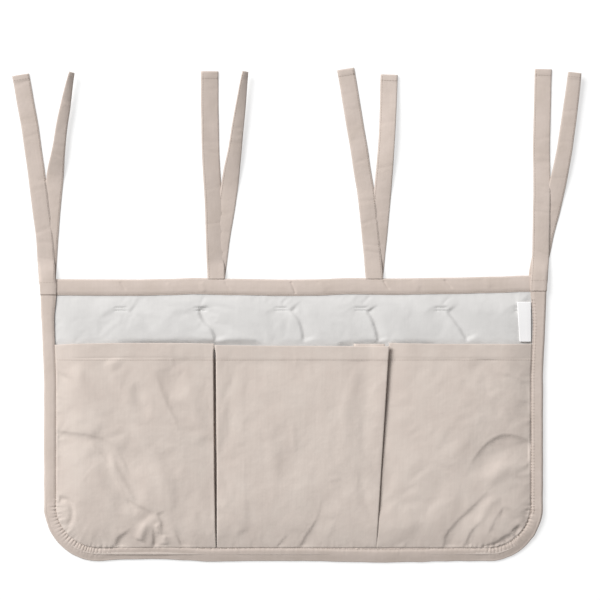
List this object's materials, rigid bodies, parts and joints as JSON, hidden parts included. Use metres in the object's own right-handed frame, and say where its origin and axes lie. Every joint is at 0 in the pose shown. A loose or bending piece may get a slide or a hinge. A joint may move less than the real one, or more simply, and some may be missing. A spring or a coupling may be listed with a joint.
{
  "type": "crib organizer",
  "caption": "Padded fabric organizer that ties to a cot's top rail: quilted back panel with open-topped pockets, pleats between them, bound edges, tie tapes and a loop label.",
  "frame": {"origin": "middle of the panel, on the flat underside of the back lining", "axes": "+X to the right along the top edge, +Y towards the ties, +Z out of the front"},
  "size_m": [0.672, 0.5839, 0.019],
  "materials": {
    "beige_cotton": "matte woven cotton",
    "white_cotton": "matte woven cotton",
    "wadding": "lofty polyester fibre",
    "white_thread": "twisted sewing thread",
    "beige_thread": "twisted sewing thread",
    "white_satin": "woven satin ribbon"
  },
  "bodies": {
    "root": {"quilt_face": "white_cotton", "quilt_wadding": "wadding", "back_lining": "white_cotton", "bar_tack_1_1": "white_thread", "bar_tack_1_2": "white_thread", "bar_tack_1_3": "white_thread", "bar_tack_1_4": "white_thread", "bar_tack_1_5": "white_thread", "bar_tack_1_6": "white_thread", "bar_tack_2_1": "white_thread", "bar_tack_2_2": "white_thread", "bar_tack_2_3": "white_thread", "bar_tack_2_4": "white_thread", "bar_tack_2_5": "white_thread", "bar_tack_2_6": "white_thread", "bar_tack_3_1": "white_thread", "bar_tack_3_2": "white_thread", "bar_tack_3_3": "white_thread", "bar_tack_3_4": "white_thread", "bar_tack_3_5": "white_thread", "bar_tack_3_6": "white_thread", "edge_binding": "beige_cotton", "top_binding": "beige_cotton", "edge_stitching": "beige_thread", "top_stitching": "beige_thread", "left_pleat_left_half": "beige_cotton", "left_pleat_right_half": "beige_cotton", "right_pleat_left_half": "beige_cotton", "right_pleat_right_half": "beige_cotton", "left_pocket_sewn_front": "beige_cotton", "right_pocket_sewn_front": "beige_cotton"},
    "left_pocket": {"left_pocket_mouth_front": "beige_cotton", "left_hem_stitching": "beige_thread"},
    "centre_pocket": {"centre_pocket_front": "beige_cotton", "centre_hem_stitching": "beige_thread"},
    "right_pocket": {"right_pocket_mouth_front": "beige_cotton", "right_hem_stitching": "beige_thread"},
    "tie_1_front": {"tie_1_front_tail": "beige_cotton"},
    "tie_1_rear": {"tie_1_rear_tail": "beige_cotton"},
    "tie_2_front": {"tie_2_front_tail": "beige_cotton"},
    "tie_2_rear": {"tie_2_rear_tail": "beige_cotton"},
    "tie_3_front": {"tie_3_front_tail": "beige_cotton"},
    "tie_3_rear": {"tie_3_rear_tail": "beige_cotton"},
    "tie_4_front": {"tie_4_front_tail": "beige_cotton"},
    "tie_4_rear": {"tie_4_rear_tail": "beige_cotton"},
    "label": {"side_label": "white_satin"}
  },
  "joints": [
    {"name": "tie_1_front_fold", "type": "hinge", "parent": "root", "child": "tie_1_front", "pos_m": [-0.2915, 0.1674, 0.0059], "axis": [-1, 0, 0], "range_deg": [-172, 0]},
    {"name": "tie_1_rear_fold", "type": "hinge", "parent": "root", "child": "tie_1_rear", "pos_m": [-0.2915, 0.1674, 0.00005], "axis": [-1, 0, 0], "range_deg": [0, 172]},
    {"name": "tie_2_front_fold", "type": "hinge", "parent": "root", "child": "tie_2_front", "pos_m": [-0.0913, 0.1674, 0.005], "axis": [-1, 0, 0], "range_deg": [-172, 0]},
    {"name": "tie_2_rear_fold", "type": "hinge", "parent": "root", "child": "tie_2_rear", "pos_m": [-0.0913, 0.1674, 0.00005], "axis": [-1, 0, 0], "range_deg": [0, 172]},
    {"name": "tie_3_front_fold", "type": "hinge", "parent": "root", "child": "tie_3_front", "pos_m": [0.0957, 0.1674, 0.005], "axis": [-1, 0, 0], "range_deg": [-172, 0]},
    {"name": "tie_3_rear_fold", "type": "hinge", "parent": "root", "child": "tie_3_rear", "pos_m": [0.0957, 0.1674, 0.00005], "axis": [-1, 0, 0], "range_deg": [0, 172]},
    {"name": "tie_4_front_fold", "type": "hinge", "parent": "root", "child": "tie_4_front", "pos_m": [0.2905, 0.1674, 0.0059], "axis": [-1, 0, 0], "range_deg": [-172, 0]},
    {"name": "tie_4_rear_fold", "type": "hinge", "parent": "root", "child": "tie_4_rear", "pos_m": [0.2905, 0.1674, 0.00005], "axis": [-1, 0, 0], "range_deg": [0, 172]},
    {"name": "left_pocket_open", "type": "hinge", "parent": "root", "child": "left_pocket", "pos_m": [-0.09732, -0.1119, 0.0128], "axis": [0.5729, -0.8196, 0], "range_deg": [0, 16]},
    {"name": "centre_pocket_open", "type": "hinge", "parent": "root", "child": "centre_pocket", "pos_m": [0, -0.1501, 0.0049], "axis": [1, 0, 0], "range_deg": [0, 10]},
    {"name": "right_pocket_open", "type": "hinge", "parent": "root", "child": "right_pocket", "pos_m": [0.10643, -0.1119, 0.0128], "axis": [0.547, 0.8371, 0], "range_deg": [0, 16]},
    {"name": "label_lift", "type": "hinge", "parent": "root", "child": "label", "pos_m": [0.28076, 0.1165, 0.00636], "axis": [0, 1, 0], "range_deg": [0, 100]}
  ]
}
